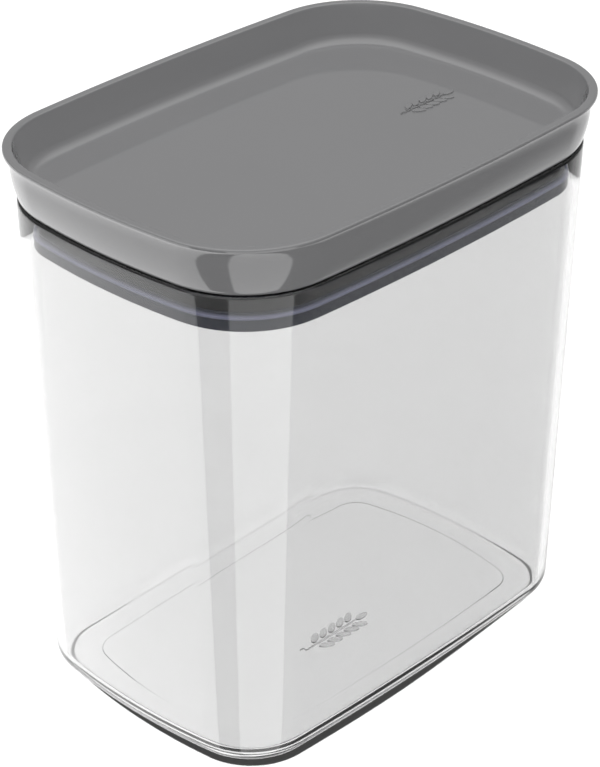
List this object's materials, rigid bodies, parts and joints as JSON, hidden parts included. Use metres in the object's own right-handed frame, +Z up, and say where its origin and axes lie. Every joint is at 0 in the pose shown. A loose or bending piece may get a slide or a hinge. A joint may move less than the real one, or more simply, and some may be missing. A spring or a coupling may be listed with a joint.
{
  "type": "storage canister",
  "caption": "Clear rectangular food storage canister with a grey press-in lid, silicone seal and stacking tray on top.",
  "frame": {"origin": "middle of the footprint, on the surface the canister stands on", "axes": "+Z up; +X along the long side of the rectangular plan; +Y along the short side"},
  "size_m": [0.1618, 0.1128, 0.168],
  "materials": {
    "clear_glass": "clear, polished",
    "grey_lid_plastic": "moulded, semi-gloss",
    "charcoal_plug_plastic": "moulded, satin",
    "blue_grey_silicone": "moulded, satin"
  },
  "bodies": {
    "container": {"container_body": "clear_glass"},
    "lid": {"lid_shell": "grey_lid_plastic", "lid_plug": "charcoal_plug_plastic", "seal_gasket": "blue_grey_silicone"}
  },
  "joints": [
    {"name": "lid_lift", "type": "slide", "parent": "container", "child": "lid", "axis": [0, 0, 1], "range_m": [0, 0.05]}
  ]
}
